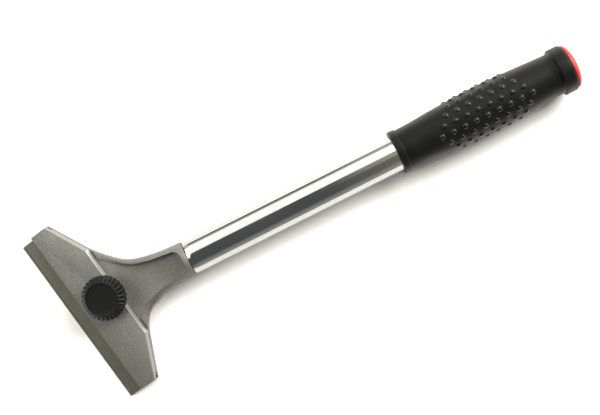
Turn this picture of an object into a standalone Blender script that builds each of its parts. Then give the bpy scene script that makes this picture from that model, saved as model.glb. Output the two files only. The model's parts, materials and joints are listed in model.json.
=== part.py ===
"""Long-handled blade scraper: cast fan head, clamped steel blade, plated tube and rubber grip.

The handle lies level along +Y, from the blade towards the grip, and the head is pitched down so
that the blade's edge reaches the surface the tool lies on. The blade is set askew to the handle.
Sizes are in millimetres, and MM turns them into metres where a mesh is made.
"""
from math import cos, exp, pi, radians, sin, sqrt, tan

import bmesh
import bpy
from mathutils import Matrix, Vector

MM = 0.001

# Gap between pieces that touch on the real tool
GAP = 0.3
RUNNING_CLEARANCE = 0.06

# Handle: the tube's shoulder on the casting is at Y = 0
AXIS_HEIGHT = 14.2
TUBE_RADIUS = 19.05 / 2
TUBE_WALL = 1.2
SPIGOT_LENGTH = 18.0

# Head
HEAD_SKEW = 9.5
HEAD_PITCH = 14.0
EDGE_TO_SHOULDER = 71.7
EDGE_OFFSET_X = 3.4

# Blade
BLADE_LENGTH = 100.0
BLADE_DEPTH = 20.0
BLADE_THICKNESS = 0.9
BLADE_BEVEL = 1.6
BLADE_SHIFT = 0.6

# Clamp plate: six corners, three on each side
PLATE_HALF_LENGTH = 50.5
PLATE_HALF_BACK = 27.4
PLATE_FRONT = 9.2
PLATE_CORNER = 19.0
PLATE_BACK = 30.4
PLATE_TOP = 5.0

# Casting
LIP_FRONT = 8.0
CASTING_MARGIN = 0.5
UNDERSIDE_HEIGHT = 0.5
FLARE_LENGTH = 10.8
RIM_WIDTH = 3.2
RIM_START_HEIGHT = 1.0
POCKET_END_WALL = 3.2
POCKET_CORNER = 4.5
CORE_START = 32.0
CORE_END = 60.0
CORE_WALL = 3.6
CORE_ROOF = 2.8
CORE_RIB = 2.6

# Knob and its screw
SCREW_X = -0.7
SCREW_Y = 25.8
SCREW_RADIUS = 3.0
SCREW_HEAD_RADIUS = 5.0
SCREW_HEAD_HEIGHT = 4.5
SCREW_BOTTOM = -4.3
WASHER_RADIUS = 7.0
WASHER_THICKNESS = 1.2
KNOB_RADIUS = 12.3
KNOB_TOP_RADIUS = 8.8
KNOB_HEIGHT = 8.6
KNOB_RIM_HEIGHT = 5.6
KNOB_RIBS = 28
KNOB_RIB_DEPTH = 0.7

# Grip
GRIP_START = 124.3
GRIP_END = 227.0
GRIP_FLANGE_WIDTH = 4.2
GRIP_FLANGE_RADIUS = 12.2
GRIP_NECK_RADIUS = 11.6
GRIP_BELLY_RADIUS = 13.3
GRIP_BELLY_CENTRE = 177.5
GRIP_FRONT_FULLNESS = 0.5
GRIP_BACK_FULLNESS = 0.65
GRIP_RING_WIDTH = 7.2
GRIP_RING_RADIUS = 13.1
PLUG_RADIUS = 12.2
PLUG_HEIGHT = 4.5
PLUG_SHANK_LENGTH = 18.0

RIVET_Y = 9.0
RIVET_RADIUS = 1.8
ROUND_SEGMENTS = 40
SMALL_SEGMENTS = 24

SEAT_LEVEL = -GAP
WASHER_BOTTOM = PLATE_TOP + GAP
KNOB_BOTTOM = WASHER_BOTTOM + WASHER_THICKNESS + GAP


def clear_scene():
    """Remove every object of the scene that the script starts in."""
    for item in list(bpy.data.objects):
        bpy.data.objects.remove(item, do_unlink=True)


def make_material(name, color, roughness, metallic):
    """Make a Principled material."""
    material = bpy.data.materials.new(name)
    material.use_nodes = True
    shader = material.node_tree.nodes["Principled BSDF"]
    shader.inputs["Base Color"].default_value = (*color, 1.0)
    shader.inputs["Roughness"].default_value = roughness
    shader.inputs["Metallic"].default_value = metallic
    return material


def make_empty(name, matrix, parent=None):
    """Make an empty that carries a group of pieces."""
    empty = bpy.data.objects.new(name, None)
    bpy.context.collection.objects.link(empty)
    empty.parent = parent
    empty.matrix_local = matrix
    return empty


def finish_mesh(name, bm, parent, material=None, smooth=True):
    """Turn a bmesh in millimetres into an object in metres under its parent empty."""
    bmesh.ops.remove_doubles(bm, verts=bm.verts, dist=1e-4)
    bmesh.ops.recalc_face_normals(bm, faces=bm.faces)
    bmesh.ops.scale(bm, vec=(MM, MM, MM), verts=bm.verts)
    mesh = bpy.data.meshes.new(name)
    bm.to_mesh(mesh)
    bm.free()
    if smooth:
        mesh.shade_smooth()
        mesh.set_sharp_from_angle(angle=radians(35))
    piece = bpy.data.objects.new(name, mesh)
    bpy.context.collection.objects.link(piece)
    piece.parent = parent
    if material:
        mesh.materials.append(material)
    return piece


def extruded(outline, direction):
    """Extrude a flat closed outline along a direction."""
    bm = bmesh.new()
    face = bm.faces.new([bm.verts.new(point) for point in outline])
    moved = bmesh.ops.extrude_face_region(bm, geom=[face])["geom"]
    tops = [item for item in moved if isinstance(item, bmesh.types.BMVert)]
    bmesh.ops.translate(bm, vec=direction, verts=tops)
    return bm


def turned(profile, segments, closed):
    """Spin a profile of (radius, height) points about Z; a closed profile leaves a bore."""
    bm = bmesh.new()
    points = [bm.verts.new((radius, 0.0, height)) for radius, height in profile]
    pairs = list(zip(points, points[1:]))
    if closed:
        pairs.append((points[-1], points[0]))
    edges = [bm.edges.new(pair) for pair in pairs]
    bmesh.ops.spin(bm, geom=points + edges, cent=(0, 0, 0), axis=(0, 0, 1), angle=2 * pi,
                   steps=segments, use_merge=True, use_duplicate=False)
    return bm


def lay_along_y(bm):
    """Turn a piece spun about Z so that its axis runs along +Y."""
    bmesh.ops.rotate(bm, cent=(0, 0, 0), matrix=Matrix.Rotation(-pi / 2, 3, "X"), verts=bm.verts)
    return bm


def drill(name, radius, bottom, top, parent, place, segments=SMALL_SEGMENTS):
    """Make a round cutter that stands on Z at a place."""
    bm = turned([(0, bottom), (radius, bottom), (radius, top), (0, top)], segments, False)
    bmesh.ops.translate(bm, vec=place, verts=bm.verts)
    return as_guide(finish_mesh(name, bm, parent))


def as_guide(cutter):
    """Mark an object as a cutter."""
    cutter.hide_render = True
    cutter.display_type = "WIRE"
    return cutter


def combine(piece, other, operation):
    """Join another shape to a piece, or cut it away."""
    modifier = piece.modifiers.new(operation.title(), "BOOLEAN")
    modifier.operation = operation
    modifier.solver = "EXACT"
    modifier.object = other


def smoothstep(value):
    """Ease from 0 to 1 with level ends."""
    clamped = min(max(value, 0.0), 1.0)
    return clamped * clamped * (3 - 2 * clamped)


def head_matrix():
    """Give the head's frame: X along the blade, Y up the blade's face, Z out of the plate."""
    turn = Matrix.Rotation(radians(HEAD_SKEW), 4, "Z") @ Matrix.Rotation(radians(HEAD_PITCH), 4, "X")
    place = Vector((EDGE_OFFSET_X, -EDGE_TO_SHOULDER, 0)) * MM
    return Matrix.Translation(place) @ turn


def seat_height(distance):
    """Give the seat plane's height at a level distance behind the edge."""
    return distance * tan(radians(HEAD_PITCH)) + SEAT_LEVEL / cos(radians(HEAD_PITCH))


SHOULDER_DISTANCE = EDGE_TO_SHOULDER / cos(radians(HEAD_SKEW))
CORNER_DISTANCE = PLATE_CORNER * cos(radians(HEAD_PITCH))
BACK_DISTANCE = PLATE_BACK * cos(radians(HEAD_PITCH))


def fan_half_width(distance):
    """Give the casting's half width: full, then slanted beside the plate, then flared to the neck."""
    full = PLATE_HALF_LENGTH + CASTING_MARGIN
    back = PLATE_HALF_BACK + CASTING_MARGIN
    if distance <= CORNER_DISTANCE:
        return full
    if distance <= BACK_DISTANCE:
        share = (distance - CORNER_DISTANCE) / (BACK_DISTANCE - CORNER_DISTANCE)
        return full + (back - full) * share
    fade = exp(-(distance - BACK_DISTANCE) / FLARE_LENGTH)
    last = exp(-(SHOULDER_DISTANCE - BACK_DISTANCE) / FLARE_LENGTH)
    return TUBE_RADIUS + (back - TUBE_RADIUS) * (fade - last) / (1 - last)


def fan_centre(distance):
    """Give the middle of the casting's section at a level distance behind the edge."""
    skew = radians(HEAD_SKEW)
    blend = smoothstep((distance - BACK_DISTANCE) / 16.0)
    across = (EDGE_OFFSET_X - distance * sin(skew)) * (1 - blend)
    return Vector((across, -EDGE_TO_SHOULDER + distance * cos(skew), 0))


def fan_direction(distance):
    """Give the direction across the casting: along the blade, then square to the handle."""
    skew = radians(HEAD_SKEW) * (1 - smoothstep((distance - BACK_DISTANCE - 8.0) / 28.0))
    return Vector((cos(skew), sin(skew), 0))


def rounded_section(centre, across, half, bottom, top, low_radius, high_radius, steps=8):
    """Give a standing section's points: a rectangle with rounded corners."""
    points = []
    corners = ((1, bottom, low_radius, -90), (1, top, high_radius, 0),
               (-1, top, high_radius, 90), (-1, bottom, low_radius, 180))
    for side, level, radius, start in corners:
        radius = min(radius, half, (top - bottom) / 2)
        inward = 1 if level == bottom else -1
        for step in range(steps + 1):
            angle = radians(start + 90 * step / steps)
            offset = side * (half - radius) + radius * cos(angle)
            height = level + inward * radius + radius * sin(angle)
            points.append(centre + across * offset + Vector((0, 0, height)))
    return points


def casting_stations():
    """List the casting's sections from the lip to the shoulder."""
    rim_start = BACK_DISTANCE + 0.9
    rise_end = SHOULDER_DISTANCE - 4.5
    tube_bottom = AXIS_HEIGHT - TUBE_RADIUS
    tube_top = AXIS_HEIGHT + TUBE_RADIUS
    lip = LIP_FRONT * cos(radians(HEAD_PITCH))
    front = [lip, CORNER_DISTANCE, BACK_DISTANCE, rim_start]
    steps = 20
    flare = [rim_start + 0.3 + (rise_end - rim_start - 0.3) * step / steps for step in range(steps + 1)]
    stations = []
    for distance in front + flare + [SHOULDER_DISTANCE]:
        on_seat = distance <= rim_start
        rise = smoothstep((distance - rim_start) / (rise_end - rim_start))
        rim = seat_height(rim_start) + RIM_START_HEIGHT
        top = seat_height(distance) if on_seat else rim + (tube_top - rim) * rise
        drop = smoothstep((distance - BACK_DISTANCE) / (rise_end - BACK_DISTANCE))
        bottom = UNDERSIDE_HEIGHT + (tube_bottom - UNDERSIDE_HEIGHT) * drop
        rounding = 0.4 + (TUBE_RADIUS - 0.4) * drop
        high = 0.2 if on_seat else 0.6 + (TUBE_RADIUS - 0.6) * rise
        stations.append((distance, bottom, top, rounding, high))
    return stations


def fan_mesh():
    """Loft the casting's outer shape."""
    bm = bmesh.new()
    rings = []
    for distance, bottom, top, low, high in casting_stations():
        section = rounded_section(fan_centre(distance), fan_direction(distance),
                                  fan_half_width(distance), bottom, top, low, high)
        rings.append([bm.verts.new(point) for point in section])
    for first, second in zip(rings, rings[1:]):
        for index in range(len(first)):
            after = (index + 1) % len(first)
            bm.faces.new((first[index], first[after], second[after], second[index]))
    bm.faces.new(rings[0])
    bm.faces.new(rings[-1])
    return bm


def inset_half_width(distance, wall):
    """Give the half width inside a side wall, whose thickness is square to the slanting side."""
    slope = (fan_half_width(distance + 0.1) - fan_half_width(distance - 0.1)) / 0.2
    return fan_half_width(distance) - wall * sqrt(1 + slope * slope)


def seat_point(distance, offset, drop=0.0):
    """Give a point on the seat plane, or a drop below it, at an offset from the fan's middle."""
    spot = fan_centre(distance) + fan_direction(distance) * offset
    behind = spot - Vector((EDGE_OFFSET_X, -EDGE_TO_SHOULDER, 0))
    skew = radians(HEAD_SKEW)
    level = behind.dot(Vector((-sin(skew), cos(skew), 0)))
    return Vector((spot.x, spot.y, seat_height(level) - drop))


def pocket_mesh():
    """Make the cutter that hollows the fan's top down to the seat plane."""
    end = SHOULDER_DISTANCE - POCKET_END_WALL
    start = BACK_DISTANCE + 0.6
    steps = 14
    side = []
    for step in range(steps + 1):
        distance = start + (end - POCKET_CORNER - start) * step / steps
        side.append((distance, inset_half_width(distance, RIM_WIDTH)))
    width = side[-1][1]
    for step in range(1, 6):
        angle = radians(90 * step / 5)
        side.append((end - POCKET_CORNER * (1 - sin(angle)), width - POCKET_CORNER * (1 - cos(angle))))
    outline = [seat_point(distance, half) for distance, half in side]
    outline += [seat_point(distance, -half) for distance, half in reversed(side)]
    return extruded(outline, (0, 0, 40.0))


def core_mesh(sign):
    """Make the cutter for one of the two cored hollows under the fan, beside the middle rib."""
    steps = 8
    outline = []
    for step in range(steps + 1):
        distance = CORE_START + (CORE_END - CORE_START) * step / steps
        outline.append(seat_point(distance, sign * inset_half_width(distance, CORE_WALL), CORE_ROOF))
    outline.append(seat_point(CORE_END, sign * CORE_RIB / 2, CORE_ROOF))
    outline.append(seat_point(CORE_START, sign * CORE_RIB / 2, CORE_ROOF))
    return extruded(outline, (0, 0, -40.0))


def build_casting(root, head, material):
    """Build the cast head: fan, pocket, cored underside, spigot and holes."""
    casting = finish_mesh("head_casting", fan_mesh(), root, material)
    length = SPIGOT_LENGTH + 2.0
    radius = TUBE_RADIUS - TUBE_WALL - GAP
    spigot = lay_along_y(turned([(0, 0), (radius, 0), (radius, length - 1.0), (radius - 1.0, length),
                                 (0, length)], ROUND_SEGMENTS, False))
    bmesh.ops.translate(spigot, vec=(0, -2.0, AXIS_HEIGHT), verts=spigot.verts)
    combine(casting, as_guide(finish_mesh("spigot_guide", spigot, root)), "UNION")
    combine(casting, as_guide(finish_mesh("pocket_cutter", pocket_mesh(), root)), "DIFFERENCE")
    for sign, side in ((1, "right"), (-1, "left")):
        core = as_guide(finish_mesh("core_cutter_" + side, core_mesh(sign), root))
        combine(casting, core, "DIFFERENCE")
    tapped = drill("tapped_hole_cutter", SCREW_RADIUS + RUNNING_CLEARANCE, -15.0, 5.0, head,
                   (SCREW_X, SCREW_Y, 0))
    combine(casting, tapped, "DIFFERENCE")
    rivet_hole = drill("spigot_hole_cutter", RIVET_RADIUS + GAP, 0.0, AXIS_HEIGHT - 3.5, root,
                       (0, RIVET_Y, 0))
    combine(casting, rivet_hole, "DIFFERENCE")
    return casting


def build_blade(head, material):
    """Build the strip blade with its ground edge."""
    start = BLADE_SHIFT - BLADE_LENGTH / 2
    section = [(0, 0), (BLADE_DEPTH, 0), (BLADE_DEPTH, BLADE_THICKNESS),
               (BLADE_BEVEL, BLADE_THICKNESS), (0, 0.12)]
    outline = [Vector((start, along, height)) for along, height in section]
    return finish_mesh("blade", extruded(outline, (BLADE_LENGTH, 0, 0)), head, material, smooth=False)


def build_plate(head, material):
    """Build the clamp plate: a thick slab with a heel behind the blade and a hole for the screw."""
    half, back = PLATE_HALF_LENGTH, PLATE_HALF_BACK
    outline = [(-half, PLATE_FRONT), (half, PLATE_FRONT), (half, PLATE_CORNER),
               (back, PLATE_BACK), (-back, PLATE_BACK), (-half, PLATE_CORNER)]
    slab = extruded([Vector((x, y, 0)) for x, y in outline], (0, 0, PLATE_TOP))
    plate = finish_mesh("clamp_plate", slab, head, material, smooth=False)
    low, front = -1.0, PLATE_FRONT - 5.0
    step = [Vector((-60.0, front, low)), Vector((60.0, front, low)),
            Vector((60.0, BLADE_DEPTH + GAP, low)), Vector((-60.0, BLADE_DEPTH + GAP, low))]
    cutter = finish_mesh("heel_cutter", extruded(step, (0, 0, BLADE_THICKNESS + GAP - low)), head)
    combine(plate, as_guide(cutter), "DIFFERENCE")
    hole = drill("plate_hole_cutter", SCREW_RADIUS + GAP, -1.0, 8.0, head, (SCREW_X, SCREW_Y, 0))
    combine(plate, hole, "DIFFERENCE")
    edges = plate.modifiers.new("Worn corners", "BEVEL")
    edges.width = 0.5 * MM
    edges.segments = 2
    edges.limit_method = "ANGLE"
    edges.angle_limit = radians(40)
    return plate


def build_knob(axis, plastic, steel):
    """Build the ribbed knob, the screw moulded in it and the loose washer under it."""
    washer = turned([(SCREW_RADIUS + 0.2, 0), (WASHER_RADIUS, 0), (WASHER_RADIUS, WASHER_THICKNESS),
                     (SCREW_RADIUS + 0.2, WASHER_THICKNESS)], SMALL_SEGMENTS, True)
    bmesh.ops.translate(washer, vec=(0, 0, WASHER_BOTTOM), verts=washer.verts)
    finish_mesh("washer", washer, axis, steel)

    pocket = SCREW_HEAD_RADIUS + GAP
    roof = SCREW_HEAD_HEIGHT + 2 * GAP
    profile = [(pocket, 0), (9.0, 0), (KNOB_RADIUS - 0.6, 1.6), (KNOB_RADIUS, 2.4),
               (KNOB_RADIUS, KNOB_RIM_HEIGHT), (KNOB_RADIUS - 0.8, KNOB_RIM_HEIGHT + 1.1),
               (KNOB_TOP_RADIUS + 0.8, KNOB_HEIGHT - 0.3), (KNOB_TOP_RADIUS, KNOB_HEIGHT), (0, KNOB_HEIGHT)]
    outer = turned([(0, roof), (pocket, roof)] + profile, 2 * KNOB_RIBS, False)
    step = pi / KNOB_RIBS
    for vertex in outer.verts:
        spot = Vector((vertex.co.x, vertex.co.y))
        on_ribs = spot.length > KNOB_TOP_RADIUS + 0.5 and vertex.co.z > 1.0
        turn = round(spot.angle_signed(Vector((1, 0))) / step) if spot.length > 0.01 else 0
        if on_ribs and turn % 2:
            scale = 1 - KNOB_RIB_DEPTH / spot.length
            vertex.co.x *= scale
            vertex.co.y *= scale
    bmesh.ops.translate(outer, vec=(0, 0, KNOB_BOTTOM), verts=outer.verts)
    finish_mesh("knob", outer, axis, plastic)

    head_bottom = KNOB_BOTTOM + GAP
    head_top = head_bottom + SCREW_HEAD_HEIGHT
    screw = turned([(0, SCREW_BOTTOM), (SCREW_RADIUS - 0.6, SCREW_BOTTOM),
                    (SCREW_RADIUS, SCREW_BOTTOM + 0.6), (SCREW_RADIUS, head_bottom),
                    (SCREW_HEAD_RADIUS, head_bottom), (SCREW_HEAD_RADIUS, head_top), (0, head_top)],
                   SMALL_SEGMENTS, False)
    finish_mesh("knob_screw", screw, axis, steel)


def build_tube(root, material):
    """Build the plated tube with its rivet hole."""
    inner = TUBE_RADIUS - TUBE_WALL
    end = GRIP_END - GAP
    tube = finish_mesh("handle_tube", lay_along_y(turned(
        [(inner, GAP), (TUBE_RADIUS, GAP), (TUBE_RADIUS, end), (inner, end)], ROUND_SEGMENTS, True)),
        root, material)
    tube.location = (0, 0, AXIS_HEIGHT * MM)
    hole = drill("tube_hole_cutter", RIVET_RADIUS + GAP, 0.0, AXIS_HEIGHT - 3.5, root, (0, RIVET_Y, 0))
    combine(tube, hole, "DIFFERENCE")
    return tube


def build_rivet(root, material):
    """Build the rivet under the tube."""
    face = AXIS_HEIGHT - TUBE_RADIUS - GAP
    head_radius = RIVET_RADIUS + 1.4
    profile = [(0, face - 1.3), (head_radius - 1.2, face - 1.0), (head_radius, face - 0.3),
               (head_radius, face), (RIVET_RADIUS, face), (RIVET_RADIUS, AXIS_HEIGHT - 4.2),
               (0, AXIS_HEIGHT - 4.2)]
    rivet = finish_mesh("tube_rivet", turned(profile, SMALL_SEGMENTS, False), root, material)
    rivet.location = (0, RIVET_Y * MM, 0)
    return rivet


def grip_profile():
    """Give the grip's outer profile: flange, groove, barrel and end ring."""
    behind_flange = GRIP_START + GRIP_FLANGE_WIDTH
    ring_start = GRIP_END - GRIP_RING_WIDTH
    flange = [(GRIP_FLANGE_RADIUS - 0.5, GRIP_START), (GRIP_FLANGE_RADIUS, GRIP_START + 0.5),
              (GRIP_FLANGE_RADIUS, behind_flange - 0.4), (GRIP_NECK_RADIUS, behind_flange)]
    barrel = []
    steps = 12
    for step in range(1, steps + 1):
        along = behind_flange + (ring_start - behind_flange) * step / steps
        reach = (along - GRIP_BELLY_CENTRE) / (ring_start - GRIP_BELLY_CENTRE)
        fullness = GRIP_FRONT_FULLNESS if reach < 0 else GRIP_BACK_FULLNESS
        swell = (0.5 + 0.5 * cos(pi * min(abs(reach), 1.0))) ** fullness
        barrel.append((GRIP_NECK_RADIUS + (GRIP_BELLY_RADIUS - GRIP_NECK_RADIUS) * swell, along))
    ring = [(GRIP_RING_RADIUS - 0.4, ring_start), (GRIP_RING_RADIUS, ring_start + 0.4),
            (GRIP_RING_RADIUS, GRIP_END - 0.8), (GRIP_RING_RADIUS - 0.8, GRIP_END)]
    return flange + barrel + ring


def build_grip(root, rubber, plastic):
    """Build the rubber sleeve and the domed plug behind it."""
    bore = TUBE_RADIUS + GAP
    sleeve = lay_along_y(turned([(bore, GRIP_START)] + grip_profile() + [(bore, GRIP_END)],
                                ROUND_SEGMENTS, True))
    grip = finish_mesh("grip_sleeve", sleeve, root, rubber)
    grip.location = (0, 0, AXIS_HEIGHT * MM)

    base = GRIP_END + GAP
    shank = TUBE_RADIUS - TUBE_WALL - GAP
    height = PLUG_HEIGHT - GAP
    dome = [(PLUG_RADIUS * cos(radians(angle)), base + 0.6 + (height - 0.6) * sin(radians(angle)))
            for angle in range(0, 91, 15)]
    profile = [(0, base - PLUG_SHANK_LENGTH), (shank - 1.0, base - PLUG_SHANK_LENGTH),
               (shank, base - PLUG_SHANK_LENGTH + 1.5), (shank, base), (PLUG_RADIUS, base)]
    plug = finish_mesh("end_plug", lay_along_y(turned(profile + dome, ROUND_SEGMENTS, False)),
                       root, plastic)
    plug.location = (0, 0, AXIS_HEIGHT * MM)


def centre_on_floor(root):
    """Move the whole tool so that the middle of its box's underside is the origin."""
    bpy.context.view_layer.update()
    corners = []
    for item in bpy.data.objects:
        if item.type == "MESH" and not item.hide_render:
            corners += [item.matrix_world @ vertex.co for vertex in item.data.vertices]
    low = Vector([min(point[axis] for point in corners) for axis in range(3)])
    high = Vector([max(point[axis] for point in corners) for axis in range(3)])
    root.location = (-(low.x + high.x) / 2, -(low.y + high.y) / 2, -low.z)


def main():
    """Build the scraper."""
    clear_scene()
    cast = make_material("cast aluminium", (0.21, 0.20, 0.18), 0.55, 0.7)
    steel = make_material("blade steel", (0.16, 0.15, 0.12), 0.4, 1.0)
    chrome = make_material("chrome plating", (0.8, 0.8, 0.78), 0.08, 1.0)
    zinc = make_material("zinc-plated steel", (0.6, 0.6, 0.6), 0.35, 1.0)
    rubber = make_material("black rubber", (0.03, 0.03, 0.03), 0.6, 0.0)
    black = make_material("black moulded plastic", (0.02, 0.02, 0.02), 0.4, 0.0)
    red = make_material("red moulded plastic", (0.7, 0.05, 0.04), 0.35, 0.0)

    root = make_empty("scraper", Matrix.Identity(4))
    head = make_empty("head_frame", head_matrix(), root)
    knob_axis = make_empty("knob_axis", Matrix.Translation(Vector((SCREW_X, SCREW_Y, 0)) * MM), head)
    build_casting(root, head, cast)
    build_blade(head, steel)
    build_plate(head, cast)
    build_knob(knob_axis, black, zinc)
    build_tube(root, chrome)
    build_rivet(root, zinc)
    build_grip(root, rubber, red)
    centre_on_floor(root)


main()
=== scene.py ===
"""Long-handled blade scraper: the finished look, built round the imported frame.

Every length is in metres unless a name ends in _mm. A piece is modelled with Blender's operators
in a plain frame of its own, and its place is then applied to its mesh.
"""

import json
import logging
import math
from dataclasses import dataclass
from enum import IntEnum
from typing import Callable, Sequence

import bpy
from mathutils import Matrix, Vector

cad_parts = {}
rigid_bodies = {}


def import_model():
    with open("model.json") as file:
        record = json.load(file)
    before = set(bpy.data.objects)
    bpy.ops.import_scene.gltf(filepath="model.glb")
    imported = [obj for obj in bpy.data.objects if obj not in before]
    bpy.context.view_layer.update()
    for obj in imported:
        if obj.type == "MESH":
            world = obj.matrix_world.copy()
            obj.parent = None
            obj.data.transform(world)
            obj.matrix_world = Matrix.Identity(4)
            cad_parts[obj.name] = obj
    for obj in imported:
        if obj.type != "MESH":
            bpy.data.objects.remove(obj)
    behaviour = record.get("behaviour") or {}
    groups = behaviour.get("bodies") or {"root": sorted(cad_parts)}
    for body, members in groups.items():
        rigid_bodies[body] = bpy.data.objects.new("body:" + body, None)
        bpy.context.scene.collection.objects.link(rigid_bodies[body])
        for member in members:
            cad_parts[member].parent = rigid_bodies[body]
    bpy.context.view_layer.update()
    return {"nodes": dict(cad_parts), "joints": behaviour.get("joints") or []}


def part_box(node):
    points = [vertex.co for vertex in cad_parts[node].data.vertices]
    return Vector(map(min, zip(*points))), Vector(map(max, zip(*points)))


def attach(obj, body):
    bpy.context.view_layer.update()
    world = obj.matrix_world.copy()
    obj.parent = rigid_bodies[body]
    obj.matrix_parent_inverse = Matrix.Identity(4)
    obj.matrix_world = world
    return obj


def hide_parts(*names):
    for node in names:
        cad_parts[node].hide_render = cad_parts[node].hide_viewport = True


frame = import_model()
LOG = logging.getLogger("scraper")
MM = 0.001
SCREW_AT = (-0.7 * MM, 25.8 * MM)
Point = tuple[float, float]
Profile = Sequence[Point]


class PlateFace(IntEnum):
    """The plate's finishes, by material slot."""

    CAST = 0
    REAR = 1
    # the rounded rear top edge, painted as a highlight
    REAR_EDGE = 2
    # the slanted sides, a darker copy of the bare side as painted shade
    SLANTED = 3


# ---------------------------------------------------------------- places read from the frame

def joint(name: str) -> dict:
    """Find a joint of the record.

    Args:
        name: the joint's name.

    Returns:
        The joint's entry.
    """
    return next(entry for entry in frame["joints"] if entry["name"] == name)


def knob_frame() -> Matrix:
    """Give the frame of the knob's axis.

    Returns:
        A matrix with Z along the knob's axis, Y from the blade towards the handle and X along the
        blade, whose origin is the axis's crossing with the blade's underside plane.
    """
    turn = joint("knob_turn")
    up = Vector(turn["axis"]).normalized()
    back = -Vector(joint("blade_slide")["axis"]).normalized()
    across = back.cross(up).normalized()
    axes = Matrix((across, back, up)).transposed().to_4x4()
    return Matrix.Translation(Vector(turn["pos_m"])) @ axes


def handle_frame() -> Matrix:
    """Give the handle's frame: Z along the tube to the grip, origin at the tube's front end."""
    low, high = (Vector(corner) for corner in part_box("handle_tube"))
    start = Vector(((low.x + high.x) / 2, low.y, (low.z + high.z) / 2))
    return Matrix.Translation(start) @ Matrix.Rotation(-math.pi / 2, 4, "X")


# ---------------------------------------------------------------- workshop: modelling by operators

def select_only(piece: bpy.types.Object) -> None:
    """Deselect everything, then select a piece and make it active."""
    for item in bpy.context.view_layer.objects:
        item.select_set(False)
    piece.select_set(True)
    bpy.context.view_layer.objects.active = piece


def edit(piece: bpy.types.Object) -> None:
    """Enter edit mode on one piece."""
    select_only(piece)
    bpy.ops.object.mode_set(mode="EDIT")


def leave() -> None:
    """Go back to object mode."""
    bpy.ops.object.mode_set(mode="OBJECT")


def select_nothing(kind: str) -> None:
    """Clear the edit-mode selection, for picking vertices (VERT) or edges (EDGE)."""
    bpy.ops.mesh.select_mode(type=kind)
    bpy.ops.mesh.select_all(action="DESELECT")


def bake_place() -> None:
    """Apply the active piece's place, turn and scale to its mesh."""
    bpy.ops.object.transform_apply(location=True, rotation=True, scale=True)


def named(name: str) -> bpy.types.Object:
    """Name the object that an operator has just added, and its mesh.

    Args:
        name: the piece's name.

    Returns:
        The new object.
    """
    piece = bpy.context.view_layer.objects.active
    piece.name = name
    piece.data.name = name
    return piece


def pick(piece: bpy.types.Object, test: Callable[[Vector], bool]) -> None:
    """Select the vertices of a mesh that pass a test.

    Args:
        piece: the object, which ends in edit mode.
        test: takes a vertex's place.
    """
    edit(piece)
    select_nothing("VERT")
    leave()
    for vertex in piece.data.vertices:
        vertex.select = test(vertex.co)
    bpy.ops.object.mode_set(mode="EDIT")


def apply_all(piece: bpy.types.Object) -> None:
    """Apply a piece's modifiers in order."""
    select_only(piece)
    for name in [modifier.name for modifier in piece.modifiers]:
        bpy.ops.object.modifier_apply(modifier=name)


def place(piece: bpy.types.Object, matrix: Matrix) -> None:
    """Put a piece in its place and apply the place to its mesh, which leaves it at the origin.

    Args:
        piece: the object, modelled in its own frame.
        matrix: its frame in the part's coordinates.
    """
    select_only(piece)
    piece.matrix_world = matrix @ piece.matrix_world
    bake_place()


def smooth(piece: bpy.types.Object, degrees: float = 35.0) -> None:
    """Shade a piece smooth, with edges sharper than an angle kept crisp."""
    select_only(piece)
    bpy.ops.object.shade_smooth_by_angle(angle=math.radians(degrees))


def turned(name: str, profile: Profile, segments: int, bored: bool = False) -> bpy.types.Object:
    """Model a round piece about Z: a ring of edges is extruded and resized along a profile.

    Args:
        name: the piece's name.
        profile: (radius, height) points from the bottom's inside to the top's inside.
        segments: vertices round the piece.
        bored: True joins the last ring to the first, False closes both ends at the axis.

    Returns:
        The piece, in its own frame.
    """
    radius, height = profile[0]
    bpy.ops.mesh.primitive_circle_add(vertices=segments, radius=radius, fill_type="NOTHING",
                                      location=(0, 0, height))
    piece = named(name)
    bake_place()
    edit(piece)
    bpy.ops.mesh.select_all(action="SELECT")
    for following, level in profile[1:]:
        bpy.ops.mesh.extrude_edges_move(TRANSFORM_OT_translate={"value": (0, 0, level - height)})
        scale = following / radius
        bpy.ops.transform.resize(value=(scale, scale, 1), center_override=(0, 0, level))
        radius, height = following, level
    if bored:
        select_nothing("EDGE")
        bpy.ops.mesh.select_non_manifold()
        bpy.ops.mesh.bridge_edge_loops()
    else:
        for end in (profile[0][1], profile[-1][1]):
            close_end(piece, end)
    bpy.ops.mesh.select_all(action="SELECT")
    bpy.ops.mesh.remove_doubles(threshold=1e-7)
    bpy.ops.mesh.normals_make_consistent(inside=False)
    leave()
    return piece


def close_end(piece: bpy.types.Object, level: float) -> None:
    """Close the open ring at a level with a fan of faces that meet on the axis."""
    select_nothing("EDGE")
    bpy.ops.mesh.select_non_manifold()
    leave()
    mesh = piece.data
    chosen = [vertex.select and abs(vertex.co.z - level) < 1e-6 for vertex in mesh.vertices]
    for edge in mesh.edges:
        edge.select = edge.select and all(chosen[index] for index in edge.vertices)
    for vertex in mesh.vertices:
        vertex.select = False
    for edge in mesh.edges:
        if edge.select:
            for index in edge.vertices:
                mesh.vertices[index].select = True
    bpy.ops.object.mode_set(mode="EDIT")
    bpy.ops.mesh.extrude_edges_move(TRANSFORM_OT_translate={"value": (0, 0, 0)})
    bpy.ops.mesh.merge(type="CENTER")


def cut(piece: bpy.types.Object, cutter: bpy.types.Object) -> None:
    """Cut a shape out of a piece, and remove the cutter."""
    modifier = piece.modifiers.new("Cut", "BOOLEAN")
    modifier.operation = "DIFFERENCE"
    modifier.solver = "EXACT"
    modifier.object = cutter
    apply_all(piece)
    bpy.data.objects.remove(cutter, do_unlink=True)


def round_edges(piece: bpy.types.Object, width: float, segments: int = 3) -> None:
    """Round a piece's edges that turn by more than 30 degrees with a bevel."""
    modifier = piece.modifiers.new("Rounding", "BEVEL")
    modifier.width = width
    modifier.segments = segments
    modifier.limit_method = "ANGLE"
    modifier.angle_limit = math.radians(30)
    modifier.harden_normals = False
    apply_all(piece)


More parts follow.
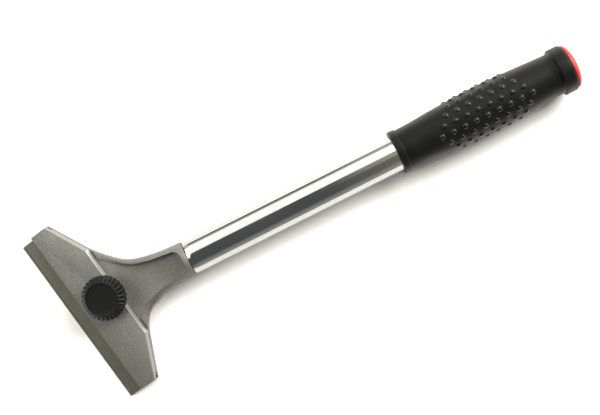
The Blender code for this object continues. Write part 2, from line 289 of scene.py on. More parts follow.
def arc(centre: Point, radius: float, start: float, end: float, steps: int) -> list[Point]:
    """Give the points of an arc in a profile.

    Args:
        centre: the arc's (radius, height) centre.
        radius: the arc's radius.
        start: the first angle in degrees, from outwards towards up.
        end: the last angle in degrees.
        steps: spans of the arc.

    Returns:
        A list of (radius, height) points.
    """
    points = []
    for step in range(steps + 1):
        angle = math.radians(start + (end - start) * step / steps)
        points.append((centre[0] + radius * math.cos(angle), centre[1] + radius * math.sin(angle)))
    return points


# ---------------------------------------------------------------- finishes

def linear(code: str) -> tuple[float, float, float, float]:
    """Turn an sRGB hex colour into a linear colour with full alpha."""
    def channel(pair: str) -> float:
        value = int(pair, 16) / 255
        return value / 12.92 if value <= 0.04045 else ((value + 0.055) / 1.055) ** 2.4
    return (*(channel(code[at:at + 2]) for at in (1, 3, 5)), 1.0)


def add_node(tree: bpy.types.NodeTree, kind: str, settings: dict | None = None,
             links: dict | None = None) -> bpy.types.Node:
    """Add a node with its settings and links.

    Args:
        tree: the material's node tree.
        kind: the node's type name.
        settings: node properties, and socket values under the socket's name or number.
        links: output sockets that feed the node's inputs, by input name or number.

    Returns:
        The new node.
    """
    node = tree.nodes.new(kind)
    for key, value in (settings or {}).items():
        if isinstance(key, str) and key.isidentifier() and key.islower() and hasattr(node, key):
            setattr(node, key, value)
        else:
            node.inputs[key].default_value = value
    for key, output in (links or {}).items():
        tree.links.new(output, node.inputs[key])
    return node


def per_metre(size_mm: float) -> float:
    """Turn the real size of a pattern's grain into the scale of a noise on object coordinates."""
    return 1.0 / (size_mm * MM)


@dataclass(frozen=True)
class Finish:
    """A named surface finish that makes its material on first use."""

    name: str
    color: str
    roughness: float
    metallic: float = 0.0
    ior: float = 1.5

    def material(self) -> bpy.types.Material:
        """Give the finish's material, made once."""
        known = bpy.data.materials.get(self.name)
        if known:
            return known
        made = bpy.data.materials.new(self.name)
        made.use_nodes = True
        tree = made.node_tree
        shader = tree.nodes["Principled BSDF"]
        shader.inputs["Base Color"].default_value = linear(self.color)
        shader.inputs["Roughness"].default_value = self.roughness
        shader.inputs["Metallic"].default_value = self.metallic
        if not self.metallic:
            shader.inputs["IOR"].default_value = self.ior
        coordinates = add_node(tree, "ShaderNodeTexCoord")
        self.dress(tree, shader, coordinates.outputs["Object"])
        made.diffuse_color = linear(self.color)
        return made

    def dress(self, tree: bpy.types.NodeTree, shader: bpy.types.Node,
              spot: bpy.types.NodeSocket) -> None:
        """Add the pattern nodes of this finish; a plain finish has none."""

    def put_on(self, piece: bpy.types.Object) -> None:
        """Give a piece this finish alone."""
        piece.data.materials.clear()
        piece.data.materials.append(self.material())


@dataclass(frozen=True)
class CastMetal(Finish):
    """A dull grainy metal, cast or rolled: the sandy skin breaks every highlight into grain.

    Upright faces take the side colour: painted light, a lighter tone that stands in for the lamps'
    light on walls and rounded rims.
    """

    grain_mm: float = 0.55
    fleck: float = 0.12
    light: str = "#8B8A85"
    dark: str = "#706F6B"
    # side: painted light, the colour given to upright faces
    side: str = "#83827E"

    def dress(self, tree: bpy.types.NodeTree, shader: bpy.types.Node,
              spot: bpy.types.NodeSocket) -> None:
        """Mottle the colour and roughness in grains, with a shallow bump."""
        grain = add_node(tree, "ShaderNodeTexNoise",
                         {"Scale": per_metre(self.grain_mm), "Detail": 3.0, "Roughness": 0.6},
                         {"Vector": spot})
        cloud = add_node(tree, "ShaderNodeTexNoise", {"Scale": per_metre(14.0), "Detail": 2.0},
                         {"Vector": spot})
        ramp = add_node(tree, "ShaderNodeValToRGB", None, {"Fac": grain.outputs["Fac"]})
        ramp.color_ramp.elements[0].position = 0.5 - self.fleck
        ramp.color_ramp.elements[1].position = 0.5 + self.fleck
        ramp.color_ramp.elements[0].color = linear(self.dark)
        ramp.color_ramp.elements[1].color = linear(self.light)
        # Painted light: faces are mixed towards the side colour the more upright they stand.
        facing = add_node(tree, "ShaderNodeNewGeometry")
        axes = add_node(tree, "ShaderNodeSeparateXYZ", None, {0: facing.outputs["Normal"]})
        upright = add_node(tree, "ShaderNodeMath", {"operation": "ABSOLUTE"},
                           {0: axes.outputs["Z"]})
        upright_painted_light = add_node(tree, "ShaderNodeMapRange",
                          {"From Min": 0.1, "From Max": 0.7, "To Min": 1.0, "To Max": 0.0},
                          {"Value": upright.outputs["Value"]})
        skin = add_node(tree, "ShaderNodeMix", {"data_type": "RGBA", 7: linear(self.side)},
                        {0: upright_painted_light.outputs["Result"], 6: ramp.outputs["Color"]})
        tree.links.new(skin.outputs[2], shader.inputs["Base Color"])
        rough = add_node(tree, "ShaderNodeMapRange",
                         {"From Min": 0.35, "From Max": 0.65, "To Min": self.roughness - 0.05,
                          "To Max": self.roughness + 0.07}, {"Value": cloud.outputs["Fac"]})
        tree.links.new(rough.outputs["Result"], shader.inputs["Roughness"])
        bump = add_node(tree, "ShaderNodeBump", {"Strength": 0.35, "Distance": 0.05 * MM},
                        {"Height": grain.outputs["Fac"]})
        tree.links.new(bump.outputs["Normal"], shader.inputs["Normal"])


@dataclass(frozen=True)
class Plated(Finish):
    """Bright plating on steel: a mirror, or a soft one, with faint draw lines along it."""

    def dress(self, tree: bpy.types.NodeTree, shader: bpy.types.Node,
              spot: bpy.types.NodeSocket) -> None:
        """Add fine lines that run along the tube, and a little roughness in patches."""
        stretch = add_node(tree, "ShaderNodeMapping", {"Scale": (1.0, 0.02, 1.0)},
                           {"Vector": spot})
        lines = add_node(tree, "ShaderNodeTexNoise", {"Scale": per_metre(0.5), "Detail": 2.0},
                         {"Vector": stretch.outputs["Vector"]})
        haze = add_node(tree, "ShaderNodeTexNoise", {"Scale": per_metre(18.0), "Detail": 3.0},
                        {"Vector": spot})
        rough = add_node(tree, "ShaderNodeMapRange",
                         {"From Min": 0.3, "From Max": 0.7, "To Min": self.roughness * 0.7,
                          "To Max": self.roughness * 1.4}, {"Value": haze.outputs["Fac"]})
        tree.links.new(rough.outputs["Result"], shader.inputs["Roughness"])
        bump = add_node(tree, "ShaderNodeBump", {"Strength": 0.05, "Distance": 0.02 * MM},
                        {"Height": lines.outputs["Fac"]})
        tree.links.new(bump.outputs["Normal"], shader.inputs["Normal"])


@dataclass(frozen=True)
class Rubber(Finish):
    """Moulded black rubber or nylon: a matt skin with a soft sheen and fine tooling texture."""

    grain_mm: float = 0.35
    sheen: str = "#585A58"
    dust: str = "#171818"

    def dress(self, tree: bpy.types.NodeTree, shader: bpy.types.Node,
              spot: bpy.types.NodeSocket) -> None:
        """Add fine grain, dusty patches and uneven gloss."""
        shader.inputs["Specular IOR Level"].default_value = 1.0
        shader.inputs["Specular Tint"].default_value = linear(self.sheen)
        grain = add_node(tree, "ShaderNodeTexNoise",
                         {"Scale": per_metre(self.grain_mm), "Detail": 2.0}, {"Vector": spot})
        patches = add_node(tree, "ShaderNodeTexNoise",
                           {"Scale": per_metre(9.0), "Detail": 4.0, "Roughness": 0.6},
                           {"Vector": spot})
        tint = add_node(tree, "ShaderNodeMix",
                        {"data_type": "RGBA", 6: linear(self.color), 7: linear(self.dust)},
                        {0: patches.outputs["Fac"]})
        tree.links.new(tint.outputs[2], shader.inputs["Base Color"])
        rough = add_node(tree, "ShaderNodeMapRange",
                         {"From Min": 0.3, "From Max": 0.7, "To Min": self.roughness - 0.06,
                          "To Max": self.roughness + 0.08}, {"Value": patches.outputs["Fac"]})
        tree.links.new(rough.outputs["Result"], shader.inputs["Roughness"])
        bump = add_node(tree, "ShaderNodeBump", {"Strength": 0.25, "Distance": 0.03 * MM},
                        {"Height": grain.outputs["Fac"]})
        tree.links.new(bump.outputs["Normal"], shader.inputs["Normal"])


# The head: a warm grey sandy skin, the same on the plate, which has a slot of its own.
CAST = CastMetal("shot-blasted die-cast aluminium", "#82817C", 0.62, metallic=0.6)
PLATE_CAST = CastMetal("shot-blasted die-cast plate", "#82817C", 0.62, metallic=0.6)
# The plate's cut sides: the rear one is bare and pale; the rounded edge above it is brighter
# still, a painted highlight.
BARE_SIDE = CastMetal("trimmed plate side, bare alloy", "#B2B8B4", 0.48, metallic=0.75,
                      grain_mm=0.4, light="#BAC0BC", dark="#A8AEAA", side="#BAC0BC")
# Painted shade: the slanted sides are the bare alloy darkened, so the lamps do not wash them out.
SHADED_SLANTED_SIDE = CastMetal("slanted plate side, bare alloy with painted shade", "#949692", 0.5, metallic=0.7,
                         grain_mm=0.4, light="#9A9C98", dark="#8C8E8A", side="#989A96")
# Painted highlight: a lighter copy of the bare side on the plate's rounded rear top edge.
PAINTED_HIGHLIGHT_EDGE = CastMetal("plate rear edge, painted highlight", "#D3D8D4", 0.38, metallic=0.7, grain_mm=0.4,
                      light="#DCE1DD", dark="#C8CDC9", side="#DCE1DD")
# The blade: darker and a little olive beside the casting.
BLADE_STEEL = CastMetal("dark rolled spring steel", "#68675C", 0.5, metallic=0.7, grain_mm=0.8,
                        light="#6E6D62", dark="#625F56", side="#68675C")
GROUND_STEEL = CastMetal("ground blade edge", "#615E56", 0.45, metallic=0.8, grain_mm=0.8,
                         light="#66635A", dark="#5C5A52", side="#615E56")
# Plating: the tube shows the room in crisp bands, the small fasteners only a glow.
CHROME = Plated("drawn tube, chrome plated", "#C3C5C4", 0.10, metallic=1.0)
ZINC = Plated("zinc-plated steel", "#B8B8B4", 0.3, metallic=1.0)
# Black parts: the grip is matt, and only its nubs carry small highlights.
RUBBER = Rubber("moulded black rubber", "#121413", 0.42)
RUBBED_NUB = Rubber("black rubber rubbed shiny by hands", "#121413", 0.22, sheen="#929492")
BLACK_PLASTIC = Rubber("moulded black nylon", "#0E0F0E", 0.38, sheen="#5E615E")
# The plug: one clean red, half matt. The floor: plain white.
RED_PLASTIC = Finish("injection-moulded red plastic", "#C02A25", 0.5)
FLOOR_PAPER = Finish("white paper sweep", "#FFFFFF", 0.9)


# ---------------------------------------------------------------- the head

@dataclass
class FanCasting:
    """The die-cast fan head: the frame's solid with a casting's soft edges and a sloped pocket."""

    voxel: float = 0.45 * MM
    softening: int = 5
    floor_level: float = -0.3 * MM
    floor_margin: float = 0.06 * MM
    slope_start: float = 9.0 * MM
    slope_degrees: float = 3.0

    def sink_pocket(self, casting: bpy.types.Object) -> None:
        """Tilt the pocket's floor so that it deepens towards the neck.

        Args:
            casting: the copy of the node, which comes back in its own place.
        """
        place(casting, knob_frame().inverted())
        pick(casting, lambda co: (abs(co.z - self.floor_level) < self.floor_margin
                                  and co.y > self.slope_start))
        bpy.ops.transform.rotate(value=math.radians(self.slope_degrees), orient_axis="X",
                                 center_override=(0, self.slope_start, self.floor_level))
        leave()
        place(casting, knob_frame())

    def build(self) -> bpy.types.Object:
        """Sink the pocket in a copy of the node, remesh it evenly and soften its edges.

        Returns:
            The casting.
        """
        source = frame["nodes"]["head_casting"]
        select_only(source)
        bpy.ops.object.duplicate(linked=False)
        casting = named("fan_casting")
        for key in list(casting.keys()):
            del casting[key]
        casting.parent = None
        edit(casting)
        bpy.ops.mesh.select_all(action="SELECT")
        bpy.ops.mesh.remove_doubles(threshold=1e-6)
        leave()
        self.sink_pocket(casting)
        even = casting.modifiers.new("Even mesh", "REMESH")
        even.mode = "VOXEL"
        even.voxel_size = self.voxel
        even.use_smooth_shade = True
        soften = casting.modifiers.new("Soft edges", "SMOOTH")
        soften.factor = 0.5
        soften.iterations = self.softening
        apply_all(casting)
        CAST.put_on(casting)
        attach(casting, "head")
        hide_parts("head_casting")
        return casting


@dataclass
class ClampPlate:
    """The thick cast plate with six corners, a heel behind the blade and a hole for the screw."""

    half_length: float = 50.5 * MM
    half_back: float = 27.4 * MM
    front: float = 9.2 * MM
    corner: float = 19.0 * MM
    back: float = 30.4 * MM
    top: float = 5.0 * MM
    heel_start: float = 20.3 * MM
    heel_step: float = 1.2 * MM
    hole_radius: float = 3.3 * MM
    rounding: float = 0.42 * MM
    cutter_length: float = 130.0 * MM
    cutter_depth: float = 30.0 * MM

    def corners(self) -> list[Point]:
        """List the six corners from the screw's axis, anticlockwise from the right front."""
        across, along = SCREW_AT
        half = [(self.half_length, self.front), (self.half_length, self.corner),
                (self.half_back, self.back)]
        mirrored = [(-x, y) for x, y in reversed(half)]
        return [(x - across, y - along) for x, y in half + mirrored]

    def build(self) -> bpy.types.Object:
        """Shape a six-sided disc into the plate, thicken it, cut its step and hole and round it.

        Returns:
            The plate.
        """
        bpy.ops.mesh.primitive_circle_add(vertices=6, radius=0.03, fill_type="NGON")
        plate = named("clamp_plate_cast")
        for vertex, (x, y) in zip(plate.data.vertices, self.corners()):
            vertex.co = (x, y, 0.0)
        edit(plate)
        bpy.ops.mesh.select_all(action="SELECT")
        bpy.ops.mesh.extrude_region_move(TRANSFORM_OT_translate={"value": (0, 0, self.top)})
        bpy.ops.mesh.select_all(action="SELECT")
        bpy.ops.mesh.normals_make_consistent(inside=False)
        leave()
        cut(plate, self.step_cutter())
        bpy.ops.mesh.primitive_cylinder_add(vertices=64, radius=self.hole_radius, depth=0.04)
        cut(plate, named("hole_cutter"))
        round_edges(plate, self.rounding)
        smooth(plate)
        place(plate, knob_frame())
        self.dress(plate)
        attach(plate, "plate")
        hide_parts("clamp_plate")
        return plate

    def dress(self, plate: bpy.types.Object) -> None:
        """Give the plate its cast skin, its rear side bare alloy, its rear top edge a painted
        highlight and its slanted sides a darker copy of the bare alloy as painted shade.
        """
        PLATE_CAST.put_on(plate)
        for finish in (BARE_SIDE, PAINTED_HIGHLIGHT_EDGE, SHADED_SLANTED_SIDE):
            plate.data.materials.append(finish.material())
        across, back, up = (knob_frame().col[axis].to_3d() for axis in (0, 1, 2))
        # REAR_EDGE faces get a painted highlight, SLANTED faces a darker copy of the bare side as
        # painted shade.
        for face in plate.data.polygons:
            level = face.normal.dot(up)
            if face.normal.dot(back) <= 0.2 or not -0.2 < level < 0.93:
                continue
            if abs(face.normal.dot(across)) >= 0.15:
                face.material_index = PlateFace.SLANTED
            else:
                face.material_index = PlateFace.REAR if level < 0.2 else PlateFace.REAR_EDGE

    def step_cutter(self) -> bpy.types.Object:
        """Make the block that clears the blade's place under the plate's front."""
        depth = self.cutter_depth
        level = self.heel_step - depth / 2
        middle = self.heel_start - depth / 2 - SCREW_AT[1]
        bpy.ops.mesh.primitive_cube_add(size=1.0, location=(0, middle, level))
        block = named("step_cutter")
        block.scale = (self.cutter_length, depth, depth)
        bake_place()
        return block


@dataclass
class StripBlade:
    """The replaceable strip blade with one ground edge."""

    length: float = 100.0 * MM
    depth: float = 20.0 * MM
    thickness: float = 0.9 * MM
    ground: float = 1.6 * MM
    edge_thickness: float = 0.12 * MM
    middle: float = 0.6 * MM
    rounding: float = 0.06 * MM

    def build(self) -> bpy.types.Object:
        """Cut a bar along the start of the ground face, and lower its front edge.

        Returns:
            The blade.
        """
        across, along = SCREW_AT
        front = -along
        spot = (self.middle - across, front + self.depth / 2, self.thickness / 2)
        bpy.ops.mesh.primitive_cube_add(size=1.0, location=spot)
        blade = named("strip_blade")
        blade.scale = (self.length, self.depth, self.thickness)
        bake_place()
        edit(blade)
        bpy.ops.mesh.select_all(action="SELECT")
        bpy.ops.mesh.bisect(plane_co=(0, front + self.ground, 0), plane_no=(0, 1, 0))
        pick(blade, lambda co: co.z > self.thickness / 2 and co.y < front + self.ground / 2)
        bpy.ops.transform.translate(value=(0, 0, self.edge_thickness - self.thickness))
        leave()
        round_edges(blade, self.rounding, 2)
        smooth(blade, 20)
        BLADE_STEEL.put_on(blade)
        blade.data.materials.append(GROUND_STEEL.material())
        for face in blade.data.polygons:
            sloping = 0.1 < -face.normal.y < 0.9 and face.normal.z > 0.5
            face.material_index = 1 if sloping else 0
        place(blade, knob_frame())
        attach(blade, "blade")
        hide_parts("blade")
        return blade


@dataclass
class ThumbKnob:
    """The black moulded knob with radial ribs round a smooth disc."""

    bottom: float = 6.8 * MM
    radius: float = 12.3 * MM
    rim: float = 5.6 * MM
    height: float = 8.6 * MM
    disc_radius: float = 8.8 * MM
    socket_radius: float = 5.3 * MM
    socket_depth: float = 5.1 * MM
    ribs: int = 28
    rib_depth: float = 0.75 * MM
    rib_segments: int = 12
    rib_foot: float = 1.2 * MM
    rounding: float = 0.9 * MM

    def profile(self) -> Profile:
        """Give the knob's profile from the socket's roof out and over to the disc's middle."""
        shoulder = arc((self.radius - self.rounding, self.rim), self.rounding, 0, 62, 5)
        slope_end = (self.disc_radius + 0.3 * MM, self.height)
        start = shoulder[-1]
        slope = [(start[0] + (slope_end[0] - start[0]) * step / 5,
                  start[1] + (slope_end[1] - start[1]) * step / 5) for step in range(1, 6)]
        foot = [(self.socket_radius, 0.0), (9.0 * MM, 0.0), (9.6 * MM, 0.15 * MM),
                (self.radius - 0.8 * MM, 1.5 * MM), (self.radius - 0.15 * MM, 2.0 * MM),
                (self.radius, 2.6 * MM), (self.radius, 4.1 * MM)]
        sunk = self.height - 0.25 * MM
        disc = [(self.disc_radius, self.height - 0.02 * MM),
                (self.disc_radius - 0.4 * MM, self.height - 0.2 * MM),
                (self.disc_radius - 1.0 * MM, sunk), (0.5 * MM, sunk)]
        socket = [(0.5 * MM, self.socket_depth), (self.socket_radius, self.socket_depth)]
        return socket + foot + shoulder + slope + disc

    def build(self) -> bpy.types.Object:
        """Turn the knob, then press its grooves in between the ribs.

        Returns:
            The knob.
        """
        knob = turned("thumb_knob", self.profile(), self.ribs * self.rib_segments)
        inner, outer = self.disc_radius + 0.2 * MM, self.radius - 2.2 * MM
        for vertex in knob.data.vertices:
            spot = vertex.co
            reach = math.hypot(spot.x, spot.y)
            if reach < inner or spot.z < self.rib_foot:
                continue
            groove = 1 - abs(math.cos(self.ribs / 2 * math.atan2(spot.y, spot.x))) ** 0.8
            ease = min((reach - inner) / (outer - inner), 1.0,
                       (spot.z - self.rib_foot) / self.rib_foot)
            press = self.rib_depth * groove * ease
            on_top = min(max((spot.z - self.rim) / (self.height - self.rim), 0.0), 1.0)
            scale = 1 - press * (1 - 0.5 * on_top) / reach
            vertex.co = (spot.x * scale, spot.y * scale, spot.z - press * 0.9 * on_top)
        smooth(knob, 50)
        place(knob, knob_frame() @ Matrix.Translation((0, 0, self.bottom)))
        BLACK_PLASTIC.put_on(knob)
        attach(knob, "knob")
        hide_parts("knob")
        return knob


# ---------------------------------------------------------------- the handle

@dataclass
class PlatedTube:
    """The plated steel tube and the rivet that holds it on the casting."""

    radius: float = 9.525 * MM
    wall: float = 1.2 * MM
    length: float = 226.4 * MM
    rivet_at: float = 8.7 * MM
    hole_radius: float = 2.1 * MM
    rivet_radius: float = 1.8 * MM
    rivet_head: float = 3.2 * MM

    def build(self) -> list[bpy.types.Object]:
        """Turn the tube and its rivet.

        Returns:
            The tube and the rivet.
        """
        inner = self.radius - self.wall
        lip = 0.35 * MM
        profile = [(inner, 0.0), (self.radius - lip, 0.0), (self.radius - 0.1 * MM, 0.1 * MM),
                   (self.radius, lip), (self.radius, 4 * MM), (self.radius, 14 * MM),
                   (self.radius, self.length - lip), (self.radius - lip, self.length),
                   (inner, self.length)]
        tube = turned("plated_tube", profile, 128, bored=True)
        bpy.ops.mesh.primitive_cylinder_add(vertices=48, radius=self.hole_radius, depth=0.01,
                                            location=(0, self.radius, self.rivet_at),
                                            rotation=(math.pi / 2, 0, 0))
        cut(tube, named("rivet_hole_cutter"))
        smooth(tube)
        place(tube, handle_frame())
        CHROME.put_on(tube)
        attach(tube, "head")
        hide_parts("handle_tube")
        return [tube, self.build_rivet()]

    def build_rivet(self) -> bpy.types.Object:
        """Turn the domed rivet with the dimple of its snapped mandrel."""
        head = arc((self.rivet_head - 1.0 * MM, 0.0), 1.0 * MM, 0, 75, 6)
        shank = [(0.3 * MM, -5.3 * MM), (self.rivet_radius, -5.3 * MM), (self.rivet_radius, 0.0),
                 (self.rivet_head, 0.0)]
        dimple = [(1.0 * MM, 1.2 * MM), (0.9 * MM, 0.8 * MM), (0.2 * MM, 0.8 * MM)]
        profile = shank + head[1:] + dimple
        rivet = turned("tube_rivet_domed", profile, 48)
        smooth(rivet)
        seat = Matrix.Translation((0, self.radius + 0.3 * MM, self.rivet_at))
        place(rivet, handle_frame() @ seat @ Matrix.Rotation(-math.pi / 2, 4, "X"))
        ZINC.put_on(rivet)
        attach(rivet, "head")
        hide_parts("tube_rivet")
        return rivet


@dataclass
class GripSleeve:
    """The moulded rubber grip: a flange, a barrel with nubs in two diamonds, and an end ring."""

    start: float = 124.0 * MM
    end: float = 226.7 * MM
    bore: float = 9.825 * MM
    flange_radius: float = 12.2 * MM
    flange_width: float = 4.2 * MM
    neck_radius: float = 11.6 * MM
    belly_radius: float = 13.3 * MM
    belly_middle: float = 177.2 * MM
    front_fullness: float = 0.5
    back_fullness: float = 0.65
    ring_radius: float = 13.1 * MM
    ring_width: float = 7.2 * MM
    nub_middle: float = 175.2 * MM
    nub_pitch: float = 6.66 * MM
    nub_radius: float = 1.5 * MM
    nub_height: float = 0.8 * MM
    nub_rows: int = 16
    longest_row: int = 9
    first_row_angle: float = 16.0
    segments: int = 288
    barrel_steps: int = 20
    fine_step: float = 0.3 * MM
    skin: float = 0.5 * MM

    @property
    def barrel_start(self) -> float:
        """Where the barrel starts, behind the flange's groove."""
        return self.start + self.flange_width + 0.5 * MM

    @property
    def ring_start(self) -> float:
        """Where the end ring starts."""
        return self.end - self.ring_width

    def barrel_radius(self, along: float) -> float:
        """Give the barrel's radius at a distance along the tube."""
        reach = (along - self.belly_middle) / (self.ring_start - self.belly_middle)
        fullness = self.front_fullness if reach < 0 else self.back_fullness
        swell = (0.5 + 0.5 * math.cos(math.pi * min(abs(reach), 1.0))) ** fullness
        return self.neck_radius + (self.belly_radius - self.neck_radius) * swell

    def profile(self) -> Profile:
        """Give the sleeve's outer profile from the bore's front to the bore's back."""
        edge = 0.5 * MM
        back = self.start + self.flange_width
        flange = [(self.bore, self.start)]
        flange += arc((self.flange_radius - edge, self.start + edge), edge, -90, 0, 4)
        flange += arc((self.flange_radius - edge, back - edge), edge, 0, 70, 3)
        groove_radius = self.neck_radius - 0.15 * MM
        groove = [(groove_radius, back + 0.1 * MM), (groove_radius, back + 0.3 * MM)]
        steps = self.barrel_steps
        span = self.ring_start - self.barrel_start
        spots = [self.barrel_start + span * step / steps for step in range(steps + 1)]
        barrel = [(self.barrel_radius(spot), spot) for spot in spots]
        fillet = [(self.neck_radius + 0.15 * MM, self.ring_start + 0.12 * MM)]
        ring = arc((self.ring_radius - edge, self.ring_start + edge + 0.1 * MM), edge, -80, 0, 4)
        soft = 1.0 * MM
        tail = arc((self.ring_radius - soft, self.end - soft), soft, 0, 90, 6)
        return flange + groove + barrel + fillet + ring + tail + [(self.bore, self.end)]

    def nub_places(self) -> list[Point]:
        """List each nub's (angle round the sleeve from its X, distance along it)."""
        places = []
        half = self.nub_rows // 2
        for row in range(self.nub_rows):
            count = self.longest_row - (half // 2 - abs(half // 2 - row % half))
            angle = math.radians(self.first_row_angle - 90 + 360 * row / self.nub_rows)
            for index in range(count):
                along = self.nub_middle + (index - (count - 1) / 2) * self.nub_pitch
                places.append((angle, along))
        return places

    def build(self) -> bpy.types.Object:
        """Turn the sleeve, divide its barrel finely and raise the nubs.

        Returns:
            The sleeve.
        """
        sleeve = turned("rubber_grip", self.profile(), self.segments, bored=True)
        places = self.nub_places()
        first = min(along for _, along in places) - 2 * self.nub_radius
        last = max(along for _, along in places) + 2 * self.nub_radius
        self.divide_barrel(sleeve, first, last)
        self.raise_nubs(sleeve, places, first, last)
        smooth(sleeve, 60)
        self.polish_nubs(sleeve)
        place(sleeve, handle_frame())
        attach(sleeve, "head")
        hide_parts("grip_sleeve")
        return sleeve

    def polish_nubs(self, sleeve: bpy.types.Object) -> None:
        """Give the sleeve its rubber, and the nubs the shine that hands leave on them."""
        RUBBER.put_on(sleeve)
        sleeve.data.materials.append(RUBBED_NUB.material())
        for face in sleeve.data.polygons:
            x, y, along = face.center
            raised = math.hypot(x, y) - self.barrel_radius(along) > self.nub_height / 5
            if raised and self.barrel_start < along < self.ring_start:
                face.material_index = 1

    def divide_barrel(self, sleeve: bpy.types.Object, first: float, last: float) -> None:
        """Divide the barrel's lengthwise edges in the nubs' stretch."""
        step = (self.ring_start - self.barrel_start) / self.barrel_steps
        edit(sleeve)
        select_nothing("EDGE")
        leave()
        mesh = sleeve.data
        for edge in mesh.edges:
            low, high = (mesh.vertices[index].co for index in edge.vertices)
            middle = (low + high) / 2
            outside = math.hypot(middle.x, middle.y) > self.bore + self.skin
            lengthwise = abs(high.z - low.z) > step / 2
            edge.select = outside and lengthwise and first < middle.z < last
        bpy.ops.object.mode_set(mode="EDIT")
        bpy.ops.mesh.subdivide(number_cuts=round(step / self.fine_step) - 1)
        leave()

    def raise_nubs(self, sleeve: bpy.types.Object, places: list[Point], first: float,
                   last: float) -> None:
        """Move the barrel's vertices out on the round nubs.

        Args:
            sleeve: the turned and divided sleeve.
            places: each nub's angle and distance along.
            first: where the nubs' stretch starts along the sleeve.
            last: where it ends.
        """
        for vertex in sleeve.data.vertices:
            x, y, along = vertex.co
            reach = math.hypot(x, y)
            if reach < self.bore + self.skin or not self.barrel_start < along < self.ring_start:
                continue
            radius = self.barrel_radius(along)
            lift = 0.0
            if first < along < last:
                angle = math.atan2(y, x)
                lift = max(self.nub_lift(angle, along, radius, spot) for spot in places)
            scale = (radius + lift) / reach
            vertex.co = (x * scale, y * scale, along)

    def nub_lift(self, angle: float, along: float, radius: float, spot: Point) -> float:
        """Give how far one nub lifts a point of the barrel.

        Args:
            angle: the point's angle round the sleeve.
            along: its distance along the sleeve.
            radius: the barrel's radius there.
            spot: the nub's angle and distance along.

        Returns:
            The lift, which is zero outside the nub.
        """
        rise = along - spot[1]
        if abs(rise) > self.nub_radius:
            return 0.0
        turn = (angle - spot[0] + math.pi) % (2 * math.pi) - math.pi
        share = ((turn * radius) ** 2 + rise ** 2) / self.nub_radius ** 2
        return self.nub_height * (1 - share) ** 0.6 if share < 1 else 0.0


@dataclass
class EndPlug:
    """The red domed plug pressed in the end of the tube."""

    start: float = 227.0 * MM
    radius: float = 12.2 * MM
    height: float = 4.2 * MM
    shank_radius: float = 8.0 * MM
    shank_length: float = 18.0 * MM

    def build(self) -> bpy.types.Object:
        """Turn the plug with a soft rim and a shallow dome.

        Returns:
            The plug.
        """
        rim = 0.5 * MM
        dome = []
        steps = 14
        for step in range(steps):
            angle = math.radians(90 * step / steps)
            dome.append((self.radius * math.cos(angle),
                         self.start + rim + (self.height - rim) * math.sin(angle)))
        foot = self.start - self.shank_length
        shank = [(0.6 * MM, foot), (self.shank_radius - 1.0 * MM, foot),
                 (self.shank_radius, foot + 1.5 * MM), (self.shank_radius, self.start)]
        brim = [(self.radius - 0.2 * MM, self.start), (self.radius, self.start + 0.15 * MM)]
        profile = shank + brim + dome + [(0.3 * MM, self.start + self.height)]
        plug = turned("red_end_plug", profile, 96)
        smooth(plug, 50)
        place(plug, handle_frame())
        RED_PLASTIC.put_on(plug)
        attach(plug, "head")
        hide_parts("end_plug")
        return plug


# ---------------------------------------------------------------- studio

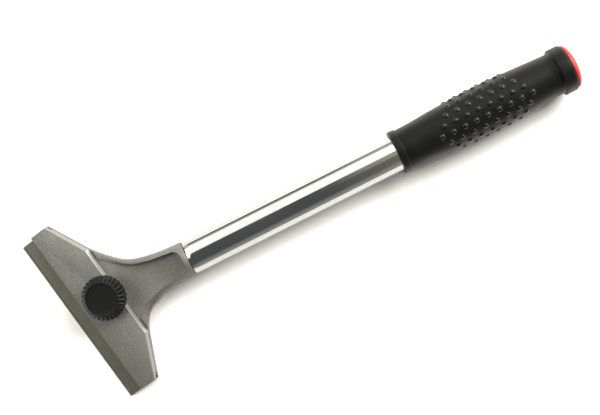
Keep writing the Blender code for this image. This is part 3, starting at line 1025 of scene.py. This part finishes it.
@dataclass
class Studio:
    """The floor, the lights and the camera straight above the tool."""

    camera_height: float = 0.700
    camera_foot: tuple[float, float] = (1.07 * MM, -10.5 * MM)
    camera_turn: float = 63.33
    lens_mm: float = 76.86
    sensor_mm: float = 36.0
    floor_size: float = 3.0
    floor_level: float = -0.05 * MM
    back_glow: str = "#D2C6B4"
    seen_room: str = "#ECEBE8"

    def build(self) -> None:
        """Make the floor, world, lights and camera."""
        bpy.context.scene.view_settings.view_transform = "Standard"
        self.lay_floor()
        self.light_world()
        self.hang_lights()
        self.set_camera()

    def lay_floor(self) -> None:
        """Lay the white sweep just under the tool."""
        bpy.ops.mesh.primitive_plane_add(size=self.floor_size, location=(0, 0, self.floor_level))
        floor = named("paper_sweep")
        FLOOR_PAPER.put_on(floor)

    def light_world(self) -> None:
        """Give the room a glow: a pale strip low on the left, dull walls, a beige back wall.

        The camera itself sees a plain pale room.
        """
        world = bpy.data.worlds.new("room")
        bpy.context.scene.world = world
        world.use_nodes = True
        tree = world.node_tree
        glow = tree.nodes["Background"]
        way = add_node(tree, "ShaderNodeTexCoord")
        parts = add_node(tree, "ShaderNodeSeparateXYZ", None, {0: way.outputs["Generated"]})
        across = add_node(tree, "ShaderNodeMapRange", {"From Min": -1.0, "From Max": 1.0},
                          {"Value": parts.outputs["X"]})
        wall = add_node(tree, "ShaderNodeValToRGB", None, {"Fac": across.outputs["Result"]})
        stops = [(0.0, "#5A5F5E"), (0.010, "#5A5F5E"), (0.014, "#E4E4E1"), (0.045, "#E4E4E1"),
                 (0.075, "#5E6261"), (0.90, "#5C6160"), (0.985, "#A3A29D")]
        ramp = wall.color_ramp
        while len(ramp.elements) < len(stops):
            ramp.elements.new(1.0)
        for element, (position, code) in zip(ramp.elements, stops):
            element.position = position
            element.color = linear(code)
        back = add_node(tree, "ShaderNodeMapRange", {"From Min": 0.03, "From Max": 0.09},
                        {"Value": parts.outputs["Y"]})
        side = add_node(tree, "ShaderNodeMapRange",
                        {"From Min": 0.1, "From Max": 0.25, "To Min": 1.0, "To Max": 0.25},
                        {"Value": parts.outputs["X"]})
        beige = add_node(tree, "ShaderNodeMath", {"operation": "MULTIPLY"},
                         {0: back.outputs["Result"], 1: side.outputs["Result"]})
        room = add_node(tree, "ShaderNodeMix",
                        {"data_type": "RGBA", "blend_type": "LIGHTEN", 7: linear(self.back_glow)},
                        {0: beige.outputs["Value"], 6: wall.outputs["Color"]})
        seen = add_node(tree, "ShaderNodeLightPath")
        view = add_node(tree, "ShaderNodeMix", {"data_type": "RGBA", 7: linear(self.seen_room)},
                        {0: seen.outputs["Is Camera Ray"], 6: room.outputs[2]})
        tree.links.new(view.outputs[2], glow.inputs["Color"])
        glow.inputs["Strength"].default_value = 1.0

    def hang_lights(self) -> None:
        """Hang the softboxes: a long one on the left, one at each end of the tool."""
        warm = (1.0, 0.97, 0.925)
        self.softbox("key_softbox", (-0.72, 0.0, 0.83), (1.50, 0.98), 7.8, (1.0, 0.985, 0.93))
        self.softbox("back_softbox", (-0.30, 0.97, 0.74), (0.60, 0.85), 24.0, warm)
        self.softbox("front_softbox", (-0.28, -0.75, 0.90), (0.60, 0.8), 4.8, warm)

    def softbox(self, name: str, spot: tuple[float, float, float], size: tuple[float, float],
                watts: float, color: tuple[float, float, float]) -> None:
        """Hang one rectangular light that faces the tool.

        Args:
            name: the light's name.
            spot: its place.
            size: its level length and its width.
            watts: its power.
            color: its colour.
        """
        bpy.ops.object.light_add(type="AREA", location=spot)
        lamp = bpy.context.view_layer.objects.active
        lamp.name = name
        lamp.data.shape = "RECTANGLE"
        lamp.data.size, lamp.data.size_y = size
        lamp.data.energy = watts
        lamp.data.color = color
        away = Vector(spot).normalized()
        along = Vector((0, 0, 1)).cross(away).normalized()
        axes = Matrix((along, away.cross(along), away)).transposed().to_4x4()
        lamp.matrix_world = Matrix.Translation(spot) @ axes

    def set_camera(self) -> None:
        """Set the camera straight above, turned so that the handle points up to the right."""
        bpy.ops.object.camera_add(location=(*self.camera_foot, self.camera_height),
                                  rotation=(0, 0, math.radians(self.camera_turn)))
        camera = bpy.context.view_layer.objects.active
        camera.data.lens = self.lens_mm
        camera.data.sensor_width = self.sensor_mm
        bpy.context.scene.camera = camera


def main() -> None:
    """Build the scraper piece by piece, then the studio."""
    logging.basicConfig(level=logging.INFO, format="%(name)s: %(message)s")
    for node in ("washer", "knob_screw"):
        ZINC.put_on(frame["nodes"][node])
    made: list[bpy.types.Object] = [
        FanCasting().build(), ClampPlate().build(), StripBlade().build(), ThumbKnob().build(),
        *PlatedTube().build(), GripSleeve().build(), EndPlug().build()]
    for piece in made:
        LOG.info("%s: %d faces", piece.name, len(piece.data.polygons))
    Studio().build()


if __name__ == "__main__":
    main()
